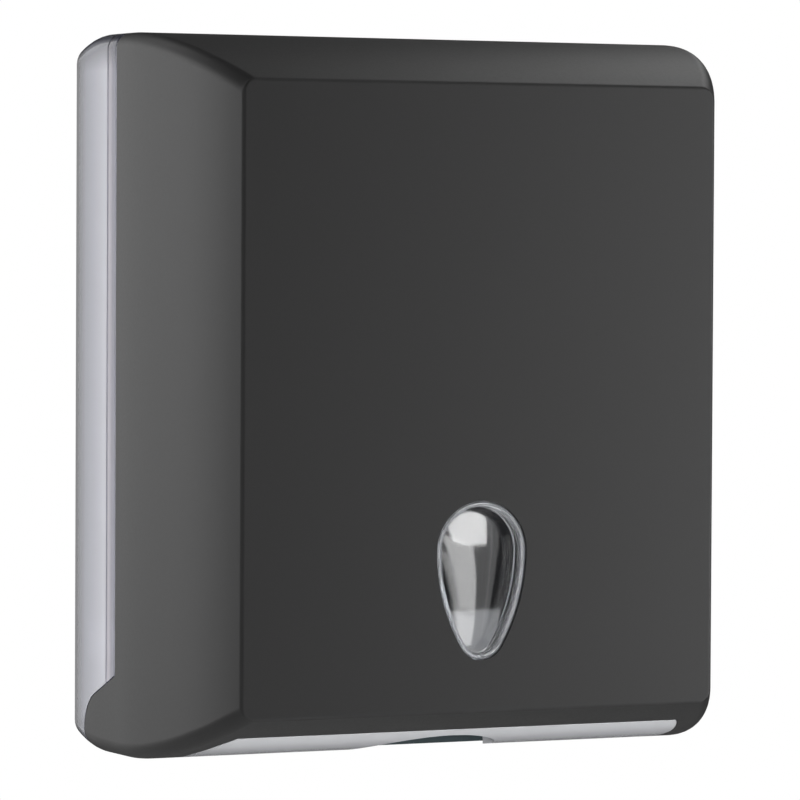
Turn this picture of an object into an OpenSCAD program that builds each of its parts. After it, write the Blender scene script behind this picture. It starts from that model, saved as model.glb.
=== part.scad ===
// Wall dispenser for folded paper towels. A see-through casing sits on the wall, a bowed cover turns on
// two pins low in the casing, a see-through tray closes the underside and has the towel opening, and a
// key lock in the casing's top holds a hook on the cover.
// Origin: middle of the wall face. X to the right, Y into the wall, Z up. Sizes in millimetres.
// A depth is measured from the wall towards the front, and a height called up from the bottom edge.

/* [Overall] */
// Width of the casing
body_w = 286; // [272:1:310]
// Height of the casing
body_h = 330; // [310:1:370]
// Depth from the wall to the flat front
body_d = 134; // [128:1:146]
// Corner radius of the outline seen from the front
corner_r = 10; // [8:0.5:14]
// Depth at which the sides start to bow in
curve_start = 52; // [50:1:58]
// How far the flat front is set in from the outline
front_inset = 22.5; // [18:0.5:24]
// Radius of the soft crease between the front and the bowed sides
crease_r = 5; // [4:0.5:8]
// Wall of the casing and of the cover
shell_t = 2.5; // [2:0.1:3]
// Gap round pieces that sit in an opening
fit_gap = 0.5; // [0.4:0.05:0.8]

/* [Casing] */
// Depth of the casing's side walls
casing_d = 46; // [44:0.5:47]
// Back plate
back_t = 3; // [2.5:0.1:4]
// Wall of the tongue that enters the cover
tongue_t = 1.4; // [1:0.1:2]
// How far the tongue enters the cover
tongue_len = 4; // [3:0.5:6]
// Depth at which the tongue's thicker root starts
tongue_start = 35; // [32:0.5:38]
// Gap between the tongue and the cover
tongue_gap = 0.8; // [0.6:0.1:1.2]
// Distance of the tongue's lower ends from the ears
tongue_end = 4; // [3:0.5:8]
// Spacing of the wall screws across
wall_pitch_x = 180; // [150:1:200]
// Spacing of the wall screws upwards
wall_pitch_z = 200; // [160:1:210]
// Height of the lower wall screws above the bottom
wall_hole_up = 75; // [72:1:90]
// Wall screw hole
wall_hole_d = 5.5; // [4.5:0.1:6.5]
// Pad round each wall screw hole
wall_pad_d = 16; // [13:0.5:20]
// How far pads and guide ribs stand off the back plate
pad_h = 2; // [1.5:0.1:3]
// Thickness of the guide ribs
rib_t = 2; // [1.5:0.1:3]
// Distance of the outer guide ribs from the middle
rib_far = 120; // [114:1:124]
// Distance of the inner guide ribs from the middle
rib_near = 35; // [28:1:42]
// Height of the guide ribs' lower ends
rib_low_up = 67; // [64:1:76]
// Height of the guide ribs' upper ends
rib_top_up = 284; // [260:1:290]

/* [Cover and hinge] */
// Gap between the casing and the cover
parting_gap = 0.6; // [0.4:0.1:1]
// Radius of the round hinge ears
ear_r = 18; // [17:0.5:19]
// Height of the ears where they meet the cover's back edge
ear_up = 36.8; // [34:0.2:40]
// Depth of the hinge axis
hinge_d = 30.5; // [29.5:0.5:32]
// Height of the hinge axis
hinge_up = 10; // [9.5:0.1:11]
// Hinge pin
pin_d = 5; // [4:0.1:5.4]
// Head of the hinge pin
pin_head_d = 8; // [7:0.1:9]
// Thickness of the pin's head
pin_head_t = 1.2; // [0.8:0.1:2]
// Thickness of the casing's hinge lugs
lug_t = 3.8; // [3:0.1:5]
// Radius of the lugs round the pin
lug_r = 6.2; // [5.4:0.1:6.6]
// Height of the lugs on the back plate
lug_up = 40; // [34:1:41]
// Wall of the hinge bush
bush_t = 1.6; // [1.2:0.1:1.8]
// Length of the bush inside the ear
bush_len = 5; // [4:0.1:6]
// Flange of the bush
bush_flange_t = 1; // [0.8:0.1:1.4]
// How far the flange stands out round the bush
bush_rim = 1.4; // [1:0.1:1.8]
// Radius of the boss in the ear
ear_boss_r = 7.4; // [6.6:0.1:8]

/* [Window] */
// Radius of the window's round top
win_r = 22.5; // [20:0.5:25]
// Radius of the window's long flanks
win_flank_r = 82; // [70:1:100]
// Radius of the window's lower tip
win_tip_r = 11.8; // [10:0.1:13]
// Height of the window's widest line
win_up = 95.5; // [90:0.5:120]
// How far the window's rim lies below the cover's face
rim_drop = 1.6; // [1:0.1:2]
// Width of the window's rim
rim_w = 2.4; // [2:0.1:3]
// Depth of the window's dish, from the top of its rim
dish_depth = 6.4; // [5.6:0.1:7]
// How far the window's flange reaches behind the cover
lens_flange = 3.2; // [2.5:0.1:4]
// Thickness of the window's flange
lens_flange_t = 2.8; // [2:0.1:3.4]
// Radius of the bulged pane
dome_r = 180; // [150:5:260]
// Thickness of the pane
pane_t = 1.6; // [1.2:0.1:2]
// Thickness of the window retainer
retainer_t = 2.2; // [1.6:0.1:3]

/* [Tray] */
// How far the tray's sides are set in from the outline
tray_margin = 19.1; // [18:0.1:20]
// Radius of the tray's rounded front corners
tray_end_r = 62; // [56:1:66]
// Depth where the tray's sides begin to round
tray_bend = 81; // [78:1:84]
// Depth of the tray's front edge
tray_front = 115.5; // [112:0.5:117]
// Wall of the tray
tray_t = 2.4; // [2:0.1:2.8]
// Height of the tray's front and side walls
tray_up = 40; // [34:1:44]
// Height of the tray's rear wall
rear_wall_up = 59; // [54:1:62]
// Height at which the rear wall widens over the lugs
rear_step_up = 43; // [42.5:0.5:48]
// Depth of the rear wall's front face
rear_wall_d = 11.6; // [11:0.1:11.8]
// Distance of the outer tray screws from the middle
tray_screw_far = 105; // [98:1:112]
// Distance of the inner tray screws from the middle
tray_screw_near = 38; // [30:1:46]
// Half the length of the towel opening
slot_half = 92; // [80:1:100]
// Depth of the middle of the towel opening
slot_mid = 58; // [54:0.5:60]
// Width of the towel opening
slot_w = 20; // [18:0.5:24]
// Radius of the finger scallop in the opening
scallop_r = 36; // [32:0.5:38]
// Depth of the scallop's centre
scallop_d = 70.5; // [68:0.5:73]
// Width of the opening's lip
lip_w = 2; // [1.5:0.1:3]
// Height of the lip above the floor
lip_h = 2; // [1.5:0.1:3]

/* [Lock] */
// Depth of the lock's axis
lock_d = 24; // [23:0.5:25]
// Barrel
barrel_d = 12; // [10:0.1:12]
// Barrel's head
barrel_head_d = 15.4; // [14.4:0.1:15.6]
// Thickness of the barrel's head
barrel_head_t = 2.8; // [2.4:0.1:3.2]
// Lock housing
housing_d = 19; // [18.4:0.1:19.4]
// Length of the lock housing below its flange
housing_len = 16.4; // [15:0.2:18]
// Flange of the lock housing
housing_flange_d = 24; // [23:0.1:26]
// Thickness of that flange, let into the casing's top
housing_flange_t = 1.6; // [1.2:0.1:1.6]
// Thickness of the pad below the casing's top
lock_pad_t = 2.5; // [2:0.1:3]
// Lock nut across its corners
nut_d = 27; // [26:0.5:28]
// Thickness of the lock nut
nut_t = 4.5; // [4:0.1:5]
// Thickness of the friction washer
friction_t = 0.6; // [0.5:0.1:1]
// Thickness of the cam
cam_t = 2.5; // [2:0.1:3]
// Reach of the cam from the lock's axis
cam_len = 19; // [17:0.1:20]
// Width of the cam
cam_w = 12; // [11:0.1:12.4]
// Square drive on the barrel
drive_w = 8; // [7.4:0.1:8.2]
// Washer below the cam
cam_washer_d = 12; // [11.8:0.1:14]
// Thickness of that washer
cam_washer_t = 0.8; // [0.6:0.1:1.2]
// Depth of the cam screw's hole above the cam
cam_screw_hole = 9; // [8:0.5:11]
// Gap between the hook and the lock
hook_gap = 1.5; // [1.2:0.1:2]
// Width of the hook on the cover
keeper_w = 8; // [6:0.1:9]
// Thickness of the hook
keeper_t = 3; // [2.5:0.1:3.2]
// Depth at which the hook's foot ends
keeper_foot_d = 84; // [80:1:90]
// Length of the hook's foot
keeper_foot_len = 30; // [26:1:30]
// Width of the hook's foot
keeper_foot_w = 10; // [9:0.5:12]
// How far the hook's screws enter the cover
keeper_screw_grip = 5; // [4:0.5:7]

/* [Screws] */
// Shank of the larger screws
screw_d = 2.9; // [2.5:0.1:3.2]
// Head of the larger screws
screw_head_d = 6.4; // [5.6:0.1:6.8]
// Thickness of the larger heads
screw_head_t = 2; // [1.6:0.1:2.2]
// Shank of the window screws
small_screw_d = 2.1; // [1.8:0.1:2.3]
// Head of the window screws
small_head_d = 5; // [4.2:0.1:5.4]
// Thickness of the window screw heads
small_head_t = 1.7; // [1.4:0.1:2]
// Wall of a screw boss
boss_wall = 2; // [1.6:0.1:2.2]

/* [Hidden] */
$fn = 96;

// Clearance of a turning fit, on the radius
run_fit = 0.05;
// Clearance of a piece that stays put in its hole, on the radius
seat_fit = 0.02;
// Overlap with which two shapes of one piece are joined
join = 0.2;
// Length that carries a cut clear of a face
past = 1;

bottom_z = -body_h / 2;
top_z = body_h / 2;
core_x = body_w / 2 - corner_r;
core_z = body_h / 2 - corner_r;
curve_depth = body_d - curve_start;
curve_r = (pow(curve_depth, 2) + pow(front_inset, 2)) / (2 * front_inset);
cover_back = casing_d + parting_gap;
front_inner = body_d - shell_t;

// Width of the band that a bowed edge takes in from the outline
edge_w = front_inset + crease_r + past;

// Crease between the bowed edge and the front, in the edge's profile: [reach, depth]
curve_at = [edge_w - curve_r, curve_start];
crease_rise = curve_depth - crease_r;
crease_at = curve_at + [sqrt(pow(curve_r - crease_r, 2) - pow(crease_rise, 2)), crease_rise];
crease_out = (crease_at - curve_at) / (curve_r - crease_r);

// Hinge, in the side view: [depth, z]
hinge_at = [hinge_d, bottom_z + hinge_up];
ear_tip = [cover_back, bottom_z + ear_up];
ear_turn = atan2(ear_tip[1] - hinge_at[1], ear_tip[0] - hinge_at[0]) + acos(ear_r / norm(ear_tip - hinge_at));
ear_normal = [cos(ear_turn), sin(ear_turn)];
ear_along = [sin(ear_turn), -cos(ear_turn)];
lug_out = body_w / 2 - tray_margin - fit_gap;
lug_in = lug_out - lug_t;
bush_in = body_w / 2 - tray_margin;
ear_boss_in = bush_in + bush_flange_t;
bush_out = ear_boss_in + bush_len;
bush_r = pin_d / 2 + run_fit + bush_t;
pin_out = bush_out - fit_gap;

// Window, in the front view: [x, z]
win_mid = [0, bottom_z + win_up];
tip_drop = sqrt(pow(win_flank_r - win_tip_r, 2) - pow(win_flank_r - win_r, 2));
tip_mid = win_mid - [0, tip_drop];
lens_front = front_inner - seat_fit;
lens_back = lens_front - lens_flange_t;
retainer_back = lens_back - retainer_t;
small_boss_r = small_screw_d / 2 + boss_wall;
post_clear = lens_flange + small_boss_r + fit_gap;
top_post_turn = 40;
tip_post_turn = -40;
posts = [for (side = [-1, 1], at = [[win_mid, win_r, top_post_turn], [tip_mid, win_tip_r, tip_post_turn]])
    at[0] + (at[1] + post_clear) * [side * cos(at[2]), sin(at[2])]];
rim_top = body_d - rim_drop;
dish_back = rim_top - dish_depth;
pane_top = rim_top - pane_t;

// Tray, whose rounded corners cross its sides a little proud
tray_back = hinge_d - sqrt(pow(ear_r + parting_gap, 2) - pow(hinge_up, 2)) + fit_gap;
end_ease = 0.1;
rear_wall_back = rear_wall_d - tray_t;
rear_low_z = bottom_z + shell_t + fit_gap;
rear_low_half = lug_in - pin_head_t - fit_gap;
rear_top_half = body_w / 2 - shell_t - tongue_gap;
tray_screw_z = bottom_z + (rear_step_up + rear_wall_up) / 2;
tray_screw_xs = [-tray_screw_far, -tray_screw_near, tray_screw_near, tray_screw_far];
screw_boss_r = screw_d / 2 + boss_wall;
tray_boss_front = rear_wall_back - seat_fit;

// Lock, from the top down
flange_low_z = top_z - housing_flange_t;
lock_pad_z = top_z - shell_t - lock_pad_t;
housing_low_z = flange_low_z - housing_len;
head_low_z = top_z - barrel_head_t - fit_gap;
cam_top_z = housing_low_z - friction_t;
cam_low_z = cam_top_z - cam_t;
washer_low_z = cam_low_z - cam_washer_t;
drive_low_z = cam_low_z + seat_fit;
lock_pad_r = nut_d / 2 + boss_wall;
hook_in = housing_d / 2 + hook_gap;
hook_low_z = cam_low_z - hook_gap;
arm_low_z = cam_top_z + hook_gap;
arm_top_z = arm_low_z + keeper_t;
hook_front = lock_d - cam_w / 2 - hook_gap;
hook_back = hook_front - keeper_t;
foot_x = hook_in + keeper_w / 2;
keeper_foot_back = keeper_foot_d - keeper_foot_len;
keeper_screw_z = arm_top_z + keeper_screw_grip;
keeper_screw_ds = [keeper_foot_back + screw_head_d, keeper_foot_d - screw_head_d];

// Guide ribs on the back plate
rib_xs = [-rib_far, -rib_near, rib_near, rib_far];

// Extrudes a front view, [x, z], from one depth to another
module front_on(from, to) {
    rotate([90, 0, 0])
        translate([0, 0, from])
            linear_extrude(to - from) children();
}

// Extrudes a side view, [depth, z], from one x to another
module side_on(from, to) {
    translate([to, 0, 0])
        rotate([90, 0, -90])
            linear_extrude(to - from) children();
}

// Extrudes a plan, [x, depth], from one height to another
module plan_on(from, to) {
    translate([0, 0, from])
        mirror([0, 1, 0])
            linear_extrude(to - from) children();
}

// Round bar across, with its axis at a point of the side view
module bar_across(at, from, to, r) {
    translate([from, -at[0], at[1]])
        rotate([0, 90, 0]) cylinder(h = to - from, r = r);
}

// Round bar along the depth, with its axis at a point of the front view
module bar_along(at, from, to, r) {
    translate([at[0], -from, at[1]])
        rotate([90, 0, 0]) cylinder(h = to - from, r = r);
}

// Upright round bar, with its axis at a point of the plan
module bar_up(at, from, to, r) {
    translate([at[0], -at[1], from]) cylinder(h = to - from, r = r);
}

// What the crease takes off the corner between the bowed edge and the front
module crease_cut(inset) {
    difference() {
        polygon([
            crease_at,
            [crease_at[0], body_d + past],
            [edge_w, body_d + past],
            crease_at + edge_w * crease_out
        ]);
        translate(crease_at) circle(r = max(crease_r - inset, join));
    }
}

// One bowed edge of the form, measured out from the inner side of its band: [reach, depth]
module edge_profile(inset) {
    square([edge_w - inset, curve_start]);
    difference() {
        intersection() {
            translate([0, curve_start]) square([edge_w - inset, curve_depth - inset]);
            translate(curve_at) circle(r = curve_r - inset);
        }
        crease_cut(inset);
    }
}

// The part of that edge that lies outside a corner's centre line
module corner_profile(inset) {
    intersection() {
        translate([corner_r - edge_w, 0]) edge_profile(inset);
        square([corner_r, body_d]);
    }
}

// Section through both edges of the form, across its width or its height
module full_profile(inset, size) {
    half = size / 2 - edge_w;
    translate([-half, 0]) square([2 * half, body_d - inset]);
    for (side = [0, 1])
        mirror([side, 0]) translate([half, 0]) edge_profile(inset);
}

// The whole outer form, or that form set in by a wall
module form(inset) {
    rotate([90, 0, 0]) {
        intersection() {
            rotate([90, 0, 0])
                linear_extrude(2 * core_z, center = true) full_profile(inset, body_w);
            rotate([90, 0, 90])
                linear_extrude(2 * body_w, center = true) full_profile(inset, body_h);
        }
        for (turn = [0, 180])
            rotate([0, 0, turn])
                translate([0, core_z, 0])
                    rotate([90, 0, 90])
                        linear_extrude(2 * core_x, center = true) corner_profile(inset);
        for (across = [0, 1], over = [0, 1])
            mirror([across, 0, 0]) mirror([0, over, 0])
                translate([core_x, core_z, 0])
                    rotate_extrude(angle = 90) corner_profile(inset);
    }
}

// The form between two depths
module form_slice(inset, from, to) {
    intersection() {
        form(inset);
        front_on(from, to) square([2 * body_w, 2 * body_h], center = true);
    }
}

// Hinge ear in the side view, with the straight flank carried on into the cover
module ear_outline(grow) {
    flank_past = 5 * past;
    translate(hinge_at) circle(r = ear_r + grow);
    polygon([
        hinge_at,
        hinge_at + (ear_r + grow) * ear_normal,
        ear_tip + grow * ear_normal + flank_past * ear_along,
        [cover_back + flank_past, bottom_z - past],
        [hinge_d, bottom_z - past]
    ]);
}

// Plan of the tray, with straight sides and rounded front corners
module tray_plan(margin, front) {
    half = body_w / 2 - margin;
    middle = body_w / 2 - tray_margin - tray_end_r;
    intersection() {
        translate([-half, 0]) square([2 * half, front]);
        union() {
            translate([-body_w, 0]) square([2 * body_w, tray_bend]);
            translate([-middle, 0]) square([2 * middle, body_d]);
            for (side = [-1, 1])
                translate([side * middle, tray_bend]) circle(r = half - middle + end_ease);
        }
    }
}

// Towel opening in plan: a long slot with a finger scallop in its front edge
module opening_plan(grow) {
    half_round = slot_w / 2;
    translate([half_round - slot_half, slot_mid - half_round - grow])
        square([2 * (slot_half - half_round), slot_w + 2 * grow]);
    for (side = [-1, 1])
        translate([side * (slot_half - half_round), slot_mid]) circle(r = half_round + grow);
    intersection() {
        translate([0, scallop_d]) circle(r = scallop_r + grow);
        translate([-slot_half, slot_mid]) square([2 * slot_half, body_d]);
    }
}

// Window outline in the front view: round top, long flanks and a round tip
module egg(grow) {
    flank_low = win_mid[1] - tip_drop * (win_flank_r + grow) / (win_flank_r - win_tip_r);
    translate(win_mid) circle(r = win_r + grow);
    translate(tip_mid) circle(r = win_tip_r + grow);
    intersection() {
        translate([-win_flank_r, flank_low]) square([2 * win_flank_r, win_mid[1] - flank_low]);
        intersection_for(side = [0, 1])
            mirror([side, 0])
                translate(win_mid + [win_r - win_flank_r, 0]) circle(r = win_flank_r + grow);
    }
}

// Hinge lug in the side view
module lug_outline() {
    brow = 50;
    translate(hinge_at) circle(r = lug_r);
    polygon([
        [back_t - join, hinge_at[1] - lug_r],
        [hinge_d, hinge_at[1] - lug_r],
        hinge_at + lug_r * [cos(brow), sin(brow)],
        [back_t - join, bottom_z + lug_up]
    ]);
}

module wall_hole_places() {
    for (side = [-1, 1], row = [0, 1])
        translate([side * wall_pitch_x / 2, 0, bottom_z + wall_hole_up + row * wall_pitch_z]) children();
}

module casing_shell() {
    difference() {
        form_slice(0, 0, casing_d);
        form_slice(shell_t, back_t, casing_d + past);
        side_on(-body_w, body_w) ear_outline(parting_gap);
    }
}

// Tongue round the top and sides, with a thicker root inside the casing's wall
module casing_tongue() {
    inner = shell_t + tongue_gap + tongue_t;
    low_z = bottom_z + ear_up + tongue_end;
    difference() {
        union() {
            form_slice(shell_t - join, tongue_start, casing_d);
            form_slice(shell_t + tongue_gap, casing_d - join, casing_d + tongue_len);
        }
        form_slice(inner, tongue_start - past, casing_d + tongue_len + past);
        side_on(-body_w, body_w)
            translate([0, bottom_z - past]) square([body_d, low_z - bottom_z + past]);
    }
}

module rear_casing() {
    color([0.74, 0.76, 0.80])
        difference() {
            union() {
                casing_shell();
                casing_tongue();
                for (side = [0, 1])
                    mirror([side, 0, 0]) side_on(lug_in, lug_out) lug_outline();
                wall_hole_places() bar_along([0, 0], back_t - join, back_t + pad_h, wall_pad_d / 2);
                for (x = tray_screw_xs)
                    bar_along([x, tray_screw_z], back_t - join, tray_boss_front, screw_boss_r);
                for (x = rib_xs)
                    front_on(back_t - join, back_t + pad_h)
                        translate([x - rib_t / 2, bottom_z + rib_low_up])
                            square([rib_t, rib_top_up - rib_low_up]);
                bar_up([0, lock_d], lock_pad_z, top_z - shell_t + join, lock_pad_r);
            }
            wall_hole_places() bar_along([0, 0], -past, back_t + pad_h + past, wall_hole_d / 2);
            for (x = tray_screw_xs)
                bar_along([x, tray_screw_z], back_t, tray_boss_front + past, screw_d / 2 + seat_fit);
            bar_across(hinge_at, -body_w, body_w, pin_d / 2 + seat_fit);
            bar_up([0, lock_d], lock_pad_z - past, top_z + past, housing_d / 2 + seat_fit);
            bar_up([0, lock_d], flange_low_z - seat_fit, top_z + past, housing_flange_d / 2 + seat_fit);
        }
}

// Floor and low walls of the tray, open at the back and beside the hinge lugs
module tray_tub() {
    side_start = casing_d + parting_gap;
    tub_top = bottom_z + tray_up;
    difference() {
        intersection() {
            form(0);
            plan_on(bottom_z - past, tub_top) tray_plan(tray_margin + fit_gap, tray_front - fit_gap);
            side_on(-body_w, body_w)
                translate([tray_back, bottom_z - past]) square([body_d, tray_up + past]);
        }
        intersection() {
            form(tray_t);
            plan_on(bottom_z - past, tub_top + past)
                tray_plan(tray_margin + fit_gap + tray_t, tray_front - fit_gap - tray_t);
        }
        for (side = [0, 1])
            mirror([side, 0, 0])
                side_on(rear_low_half, body_w / 2)
                    translate([0, bottom_z + tray_t]) square([side_start, tray_up]);
    }
}

// Rear wall, narrow between the lugs and wide above them, with a step down to the floor
module tray_rear_wall() {
    step_z = bottom_z + rear_step_up;
    wall_top_z = bottom_z + rear_wall_up;
    front_on(rear_wall_back, rear_wall_d) {
        translate([-rear_low_half, rear_low_z]) square([2 * rear_low_half, wall_top_z - rear_low_z]);
        translate([-rear_top_half, step_z]) square([2 * rear_top_half, wall_top_z - step_z]);
    }
    side_on(-rear_low_half, rear_low_half) {
        translate([rear_wall_back, rear_low_z]) square([tray_back + tray_t - rear_wall_back, tray_t]);
        translate([tray_back, bottom_z]) square([tray_t, rear_low_z - bottom_z + tray_t]);
    }
}

module dispensing_tray() {
    color([0.70, 0.72, 0.76])
        difference() {
            union() {
                tray_tub();
                tray_rear_wall();
                difference() {
                    intersection() {
                        form(0);
                        plan_on(bottom_z - past, bottom_z + front_inset) opening_plan(lip_w);
                    }
                    form(tray_t + lip_h);
                }
            }
            plan_on(bottom_z - past, bottom_z + front_inset) opening_plan(0);
            for (x = tray_screw_xs)
                bar_along([x, tray_screw_z], 0, body_d / 2, screw_d / 2 + run_fit);
        }
}

module tray_screws() {
    color("silver")
        for (x = tray_screw_xs)
            bolt_along([x, tray_screw_z], rear_wall_d, back_t + past);
}

// Screw along the depth: its head stands in front of a face, its shank goes back towards the wall
module bolt_along(at, seat, tip) {
    bar_along(at, seat + seat_fit, seat + seat_fit + screw_head_t, screw_head_d / 2);
    bar_along(at, tip, seat + seat_fit + join, screw_d / 2);
}

module hinge_pin() {
    bar_across(hinge_at, lug_in - pin_head_t, lug_in - seat_fit, pin_head_d / 2);
    bar_across(hinge_at, lug_in - join, pin_out, pin_d / 2);
}

module hinge_pin_left() {
    color("silver") mirror([1, 0, 0]) hinge_pin();
}

module hinge_pin_right() {
    color("silver") hinge_pin();
}

module hinge_bush() {
    difference() {
        union() {
            bar_across(hinge_at, bush_in, ear_boss_in - seat_fit, bush_r + bush_rim);
            bar_across(hinge_at, ear_boss_in - join, bush_out, bush_r);
        }
        bar_across(hinge_at, bush_in - past, bush_out + past, pin_d / 2 + run_fit);
    }
}

module hinge_bush_left() {
    color("ivory") mirror([1, 0, 0]) hinge_bush();
}

module hinge_bush_right() {
    color("ivory") hinge_bush();
}

module cover_shell() {
    difference() {
        intersection() {
            form(0);
            side_on(-body_w, body_w) {
                ear_outline(0);
                translate([cover_back, bottom_z - past]) square([body_d, body_h + 2 * past]);
            }
        }
        form(shell_t);
        plan_on(bottom_z - past, bottom_z + front_inset) tray_plan(tray_margin, tray_front);
    }
}

// Boss in an ear, kept inside the ear's skin
module ear_boss() {
    intersection() {
        form(shell_t / 2);
        bar_across(hinge_at, ear_boss_in, body_w / 2, ear_boss_r);
    }
}

// Bosses below the cover's top wall for the hook's screws
module keeper_boss(at) {
    intersection() {
        form(shell_t / 2);
        bar_up(at, arm_top_z, top_z, screw_boss_r);
    }
}

module front_cover() {
    color([0.26, 0.26, 0.27])
        difference() {
            union() {
                cover_shell();
                for (side = [0, 1])
                    mirror([side, 0, 0]) ear_boss();
                for (d = keeper_screw_ds)
                    keeper_boss([foot_x, d]);
                for (at = posts)
                    bar_along(at, lens_back, front_inner + join, small_boss_r);
            }
            front_on(front_inner - past, body_d + past) egg(fit_gap);
            for (side = [0, 1])
                mirror([side, 0, 0]) {
                    bar_across(hinge_at, bush_in, bush_out + fit_gap, bush_r + seat_fit);
                    bar_across(hinge_at, bush_in - past, ear_boss_in, bush_r + bush_rim + seat_fit);
                }
            for (d = keeper_screw_ds)
                bar_up([foot_x, d], arm_top_z - past, keeper_screw_z + past, screw_d / 2 + seat_fit);
            for (at = posts)
                bar_along(at, lens_back - past, front_inner + past / 2, small_screw_d / 2 + seat_fit);
        }
}

// Bulged pane: part of a thin tube whose axis lies across the window, far behind it
module pane() {
    dome_at = [pane_top - dome_r, (win_mid[1] + tip_mid[1]) / 2];
    intersection() {
        front_on(dish_back, rim_top) egg(join - rim_w);
        difference() {
            bar_across(dome_at, -win_r, win_r, dome_r);
            bar_across(dome_at, -body_w, body_w, dome_r - pane_t);
        }
    }
}

module sight_window() {
    color([0.85, 0.88, 0.92])
        union() {
            difference() {
                union() {
                    front_on(lens_back, lens_front) egg(lens_flange);
                    front_on(dish_back, rim_top) egg(0);
                }
                front_on(dish_back - past, body_d) egg(-rim_w);
            }
            pane();
        }
}

module window_retainer() {
    color([0.3, 0.3, 0.31])
        difference() {
            front_on(retainer_back, lens_back - seat_fit) {
                egg(lens_flange + boss_wall);
                for (at = posts)
                    translate(at) circle(r = small_boss_r);
            }
            front_on(retainer_back - past, lens_back + past) egg(fit_gap);
            for (at = posts)
                bar_along(at, retainer_back - past, lens_back + past, small_screw_d / 2 + run_fit);
        }
}

module retainer_screws() {
    seat = retainer_back - seat_fit;
    color("silver")
        for (at = posts) {
            bar_along(at, seat - small_head_t, seat, small_head_d / 2);
            bar_along(at, seat - join, front_inner, small_screw_d / 2);
        }
}

module lock_housing() {
    color("gray")
        difference() {
            union() {
                bar_up([0, lock_d], flange_low_z, top_z, housing_flange_d / 2);
                bar_up([0, lock_d], housing_low_z, flange_low_z + join, housing_d / 2);
            }
            bar_up([0, lock_d], housing_low_z - past, top_z + past, barrel_d / 2 + run_fit);
            bar_up([0, lock_d], head_low_z - seat_fit, top_z + past, barrel_head_d / 2 + run_fit);
        }
}

module lock_nut() {
    color("silver")
        difference() {
            translate([0, -lock_d, lock_pad_z - seat_fit - nut_t]) cylinder(h = nut_t, d = nut_d, $fn = 6);
            bar_up([0, lock_d], 0, top_z, housing_d / 2 + seat_fit);
        }
}

// Key recess: a slot across a round hole
module lock_barrel() {
    key_depth = 2;
    key_rim = 2;
    key_slot_w = 1.8;
    key_slot_len = barrel_d - key_rim;
    key_hole_r = 2;
    head_top_z = head_low_z + barrel_head_t;
    color("lightgray")
        difference() {
            union() {
                bar_up([0, lock_d], head_low_z, head_top_z, barrel_head_d / 2);
                bar_up([0, lock_d], cam_top_z, head_low_z + join, barrel_d / 2);
                translate([-drive_w / 2, -lock_d - drive_w / 2, drive_low_z])
                    cube([drive_w, drive_w, cam_t + join]);
            }
            translate([-key_slot_len / 2, -lock_d - key_slot_w / 2, head_top_z - key_depth])
                cube([key_slot_len, key_slot_w, key_depth + past]);
            bar_up([0, lock_d], head_top_z - key_depth, head_top_z + past, key_hole_r);
            bar_up([0, lock_d], drive_low_z - past, cam_top_z + cam_screw_hole, screw_d / 2 + seat_fit);
        }
}

module lock_friction_washer() {
    color("gold")
        difference() {
            bar_up([0, lock_d], cam_top_z + seat_fit, housing_low_z - seat_fit, housing_d / 2);
            bar_up([0, lock_d], 0, top_z, barrel_d / 2 + run_fit);
        }
}

// Flat cam, stored pointing at the front, which leaves the hook free
module lock_cam() {
    tip_r = cam_w / 2;
    color("silver")
        difference() {
            union() {
                bar_up([0, lock_d], cam_low_z, cam_top_z - seat_fit, tip_r);
                bar_up([0, lock_d + cam_len - tip_r], cam_low_z, cam_top_z - seat_fit, tip_r);
                plan_on(cam_low_z, cam_top_z - seat_fit)
                    translate([-tip_r, lock_d]) square([cam_w, cam_len - tip_r]);
            }
            translate([0, -lock_d, cam_low_z])
                cube([drive_w + 2 * run_fit, drive_w + 2 * run_fit, 3 * cam_t], center = true);
        }
}

module cam_washer() {
    color("silver")
        difference() {
            bar_up([0, lock_d], washer_low_z, cam_low_z - seat_fit, cam_washer_d / 2);
            bar_up([0, lock_d], 0, top_z, screw_d / 2 + run_fit);
        }
}

module cam_screw() {
    seat_z = washer_low_z - seat_fit;
    color("silver") {
        bar_up([0, lock_d], seat_z - screw_head_t, seat_z, screw_head_d / 2);
        bar_up([0, lock_d], seat_z - join, cam_top_z + cam_screw_hole - past, screw_d / 2);
    }
}

// Hook on the cover: a foot below the top wall, an arm back into the casing and a tooth behind the cam
module cover_keeper() {
    color("dimgray")
        difference() {
            union() {
                plan_on(arm_low_z, arm_top_z - seat_fit)
                    translate([hook_in, hook_back]) square([keeper_w, keeper_foot_back - hook_back + join]);
                plan_on(arm_low_z, arm_top_z - seat_fit)
                    translate([foot_x - keeper_foot_w / 2, keeper_foot_back])
                        square([keeper_foot_w, keeper_foot_len]);
                plan_on(hook_low_z, arm_low_z + join)
                    translate([hook_in, hook_back]) square([keeper_w, keeper_t]);
            }
            for (d = keeper_screw_ds)
                bar_up([foot_x, d], arm_low_z - past, arm_top_z + past, screw_d / 2 + run_fit);
        }
}

module keeper_screws() {
    seat_z = arm_low_z - seat_fit;
    color("silver")
        for (d = keeper_screw_ds) {
            bar_up([foot_x, d], seat_z - screw_head_t, seat_z, screw_head_d / 2);
            bar_up([foot_x, d], seat_z - join, keeper_screw_z, screw_d / 2);
        }
}

rear_casing();
dispensing_tray();
tray_screws();
hinge_pin_left();
hinge_pin_right();
lock_housing();
lock_nut();
front_cover();
sight_window();
window_retainer();
retainer_screws();
hinge_bush_left();
hinge_bush_right();
cover_keeper();
keeper_screws();
lock_barrel();
lock_friction_washer();
lock_cam();
cam_washer();
cam_screw();
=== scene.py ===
"""Looks of a wall dispenser for folded towels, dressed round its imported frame."""
import math

import bmesh
import bpy
from mathutils import Matrix, Vector


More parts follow.
